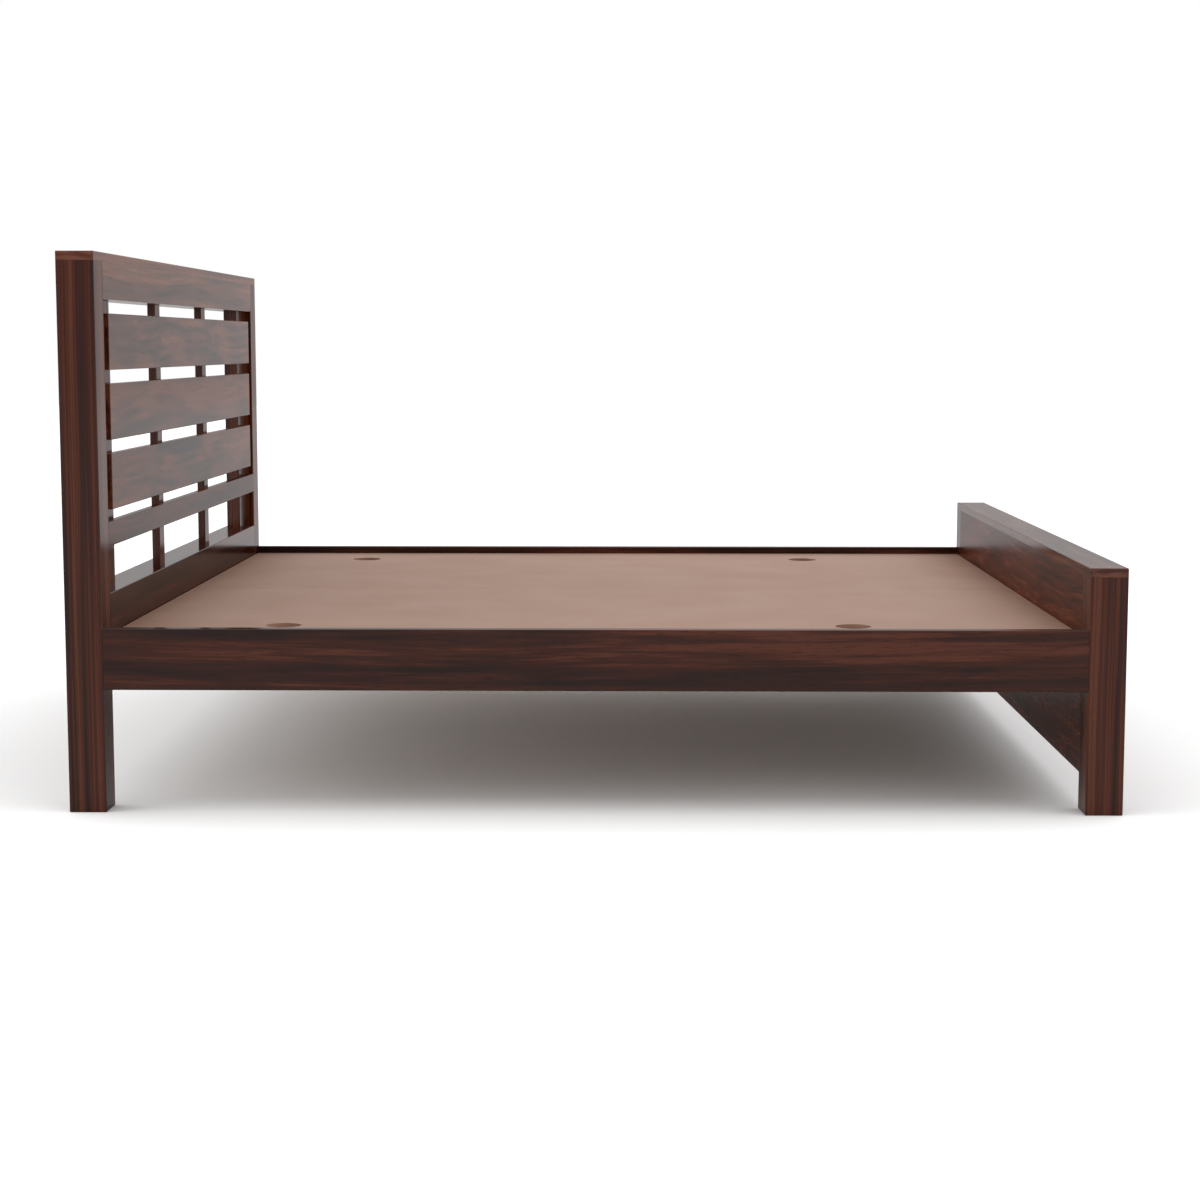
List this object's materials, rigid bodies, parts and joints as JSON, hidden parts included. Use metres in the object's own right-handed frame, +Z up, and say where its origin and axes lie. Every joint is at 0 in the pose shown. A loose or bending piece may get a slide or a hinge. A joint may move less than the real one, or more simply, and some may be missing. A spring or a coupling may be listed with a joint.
{
  "type": "wooden bed frame",
  "caption": "Wooden bed frame with a slatted headboard, a low solid footboard, side rails and loose lift-out platform boards that carry a mattress.",
  "frame": {"origin": "on the floor under the middle of the bed", "axes": "+X towards the foot end, +Y to the right seen from the foot, +Z up"},
  "size_m": [2.14, 1.9, 1.133],
  "materials": {
    "rosewood": "dark brown straight-grained rosewood, satin lacquer",
    "bearer_wood": "plain sawn softwood",
    "dowel_wood": "plain beech",
    "platform_board": "pinkish brown sanded fibreboard",
    "zinc_steel": "zinc plated",
    "galvanised_steel": "galvanised sheet",
    "black_steel": "black powder coat",
    "brass": "plain brass"
  },
  "bodies": {
    "bed_frame": {"head_post_left": "rosewood", "head_post_right": "rosewood", "head_cap": "rosewood", "head_top_rail": "rosewood", "head_slat_upper": "rosewood", "head_slat_middle": "rosewood", "head_slat_lower": "rosewood", "head_mid_rail": "rosewood", "head_batten_1": "rosewood", "head_batten_2": "rosewood", "head_batten_3": "rosewood", "head_batten_4": "rosewood", "head_bottom_rail": "rosewood", "head_apron": "rosewood", "slat_screws": "zinc_steel", "foot_post_left": "rosewood", "foot_post_right": "rosewood", "foot_cap": "rosewood", "foot_panel": "rosewood", "cap_dowels": "dowel_wood", "side_rail_left": "rosewood", "side_rail_right": "rosewood", "rail_dowels": "dowel_wood", "side_cleat_left": "bearer_wood", "side_cleat_right": "bearer_wood", "head_ledger": "bearer_wood", "foot_ledger": "bearer_wood", "centre_beam": "bearer_wood", "beam_hanger_head": "galvanised_steel", "beam_hanger_foot": "galvanised_steel", "hanger_screws": "zinc_steel", "cross_bearer_1": "bearer_wood", "cross_bearer_2": "bearer_wood", "cross_bearer_3": "bearer_wood", "cross_bearer_4": "bearer_wood", "cross_bearer_5": "bearer_wood", "cross_bearer_6": "bearer_wood", "frame_screws": "zinc_steel", "corner_bracket_head_left": "black_steel", "corner_bracket_head_right": "black_steel", "corner_bracket_foot_left": "black_steel", "corner_bracket_foot_right": "black_steel", "bracket_bolts": "zinc_steel", "bracket_washers": "zinc_steel", "threaded_inserts": "brass"},
    "left_board": {"platform_board_left": "platform_board"},
    "right_board": {"platform_board_right": "platform_board"}
  },
  "joints": [
    {"name": "left_board_lift", "type": "slide", "parent": "bed_frame", "child": "left_board", "axis": [0, 0, 1], "range_m": [0, 0.2]},
    {"name": "right_board_lift", "type": "slide", "parent": "bed_frame", "child": "right_board", "axis": [0, 0, 1], "range_m": [0, 0.2]}
  ]
}
